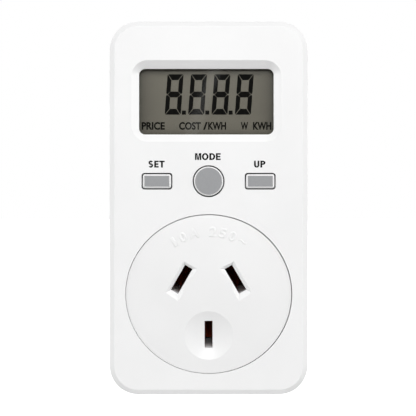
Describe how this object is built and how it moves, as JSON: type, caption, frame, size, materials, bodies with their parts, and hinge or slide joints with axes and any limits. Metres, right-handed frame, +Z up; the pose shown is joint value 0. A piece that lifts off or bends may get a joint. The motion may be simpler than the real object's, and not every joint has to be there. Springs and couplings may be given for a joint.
{
  "type": "plug-in power meter",
  "caption": "Plug-in mains power meter with a sunk LCD window, push keys and a flat-pin socket on its front, and a flat-pin plug on its back.",
  "frame": {"origin": "centre of the plug on the case's rear mating face, the face that meets the wall outlet", "axes": "+Y out of the back along the plug pins, +Z up, +X to the right of someone facing the display"},
  "size_m": [0.0514, 0.0584, 0.0965],
  "materials": {
    "white_abs": "satin moulded ABS",
    "white_abs_rear": "fine-textured moulded ABS",
    "white_pc_face": "semi-gloss moulded polycarbonate",
    "clear_acrylic": "polished clear acrylic",
    "black_abs": "matt",
    "zebra_rubber": "laminated conductive rubber",
    "green_fr4": "solder-masked glass epoxy",
    "black_epoxy": "transfer-moulded epoxy",
    "nickel_can": "nickel plated",
    "resistance_alloy": "rolled",
    "yellow_box": "gloss",
    "black_sleeve": "shrink sleeve",
    "blue_coating": "dipped epoxy",
    "cream_lacquer": "lacquered",
    "grey_pvc": "extruded PVC",
    "dark_pbt": "moulded PBT",
    "silver_film": "printed film, left blank",
    "steel_cover": "stamped",
    "grey_key": "satin moulded ABS",
    "polariser_film": "polarising film",
    "lcd_glass": "polished",
    "reflector_film": "transflective film",
    "brown_pvc": "extruded PVC",
    "blue_pvc": "extruded PVC",
    "zinc_steel": "bright zinc plated",
    "black_nylon": "moulded nylon",
    "phosphor_bronze": "stamped and bent",
    "brass_pin": "machined",
    "black_sleeve_pin": "overmoulded PVC"
  },
  "bodies": {
    "case": {"front_shell": "white_abs", "rear_shell": "white_abs_rear", "socket_face": "white_pc_face", "display_window": "clear_acrylic", "lcd_frame": "black_abs", "zebra_strips": "zebra_rubber", "display_board": "green_fr4", "power_board": "green_fr4", "microcontroller": "black_epoxy", "clock_crystal": "nickel_can", "metering_chip": "black_epoxy", "bridge_rectifier": "black_epoxy", "shunt": "resistance_alloy", "x2_capacitor": "yellow_box", "smoothing_capacitors": "black_sleeve", "varistor": "blue_coating", "fuse_resistor": "cream_lacquer", "backup_battery": "nickel_can", "battery_tags": "nickel_can", "board_ribbon": "grey_pvc", "contact_carrier": "dark_pbt", "pin_clamp": "dark_pbt", "earth_strap": "brass_pin", "rating_label": "silver_film", "switch_covers": "steel_cover", "front_polariser": "polariser_film", "lcd_front_glass": "lcd_glass", "lcd_rear_glass": "lcd_glass", "rear_reflector": "reflector_film", "live_feed_wire": "brown_pvc", "live_load_wire": "brown_pvc", "neutral_wire": "blue_pvc", "neutral_sense_wire": "blue_pvc", "case_screws": "zinc_steel", "display_board_screws": "zinc_steel", "power_board_screws": "zinc_steel", "carrier_screws": "zinc_steel", "clamp_screws": "zinc_steel", "set_switch_base": "black_nylon", "mode_switch_base": "black_nylon", "up_switch_base": "black_nylon", "live_contact": "phosphor_bronze", "neutral_contact": "phosphor_bronze", "earth_contact": "phosphor_bronze", "live_pin": "brass_pin", "neutral_pin": "brass_pin", "earth_pin": "brass_pin", "live_pin_sleeve": "black_sleeve_pin", "neutral_pin_sleeve": "black_sleeve_pin"},
    "set_key": {"set_keycap": "grey_key", "set_switch_plunger": "black_nylon"},
    "mode_key": {"mode_keycap": "grey_key", "mode_switch_plunger": "black_nylon"},
    "up_key": {"up_keycap": "grey_key", "up_switch_plunger": "black_nylon"}
  },
  "joints": [
    {"name": "set_press", "type": "slide", "parent": "case", "child": "set_key", "axis": [0, 1, 0], "range_m": [0, 0.0005], "stiffness_N_per_m": 400, "springref_m": -0.001},
    {"name": "mode_press", "type": "slide", "parent": "case", "child": "mode_key", "axis": [0, 1, 0], "range_m": [0, 0.0005], "stiffness_N_per_m": 400, "springref_m": -0.001},
    {"name": "up_press", "type": "slide", "parent": "case", "child": "up_key", "axis": [0, 1, 0], "range_m": [0, 0.0005], "stiffness_N_per_m": 400, "springref_m": -0.001}
  ]
}
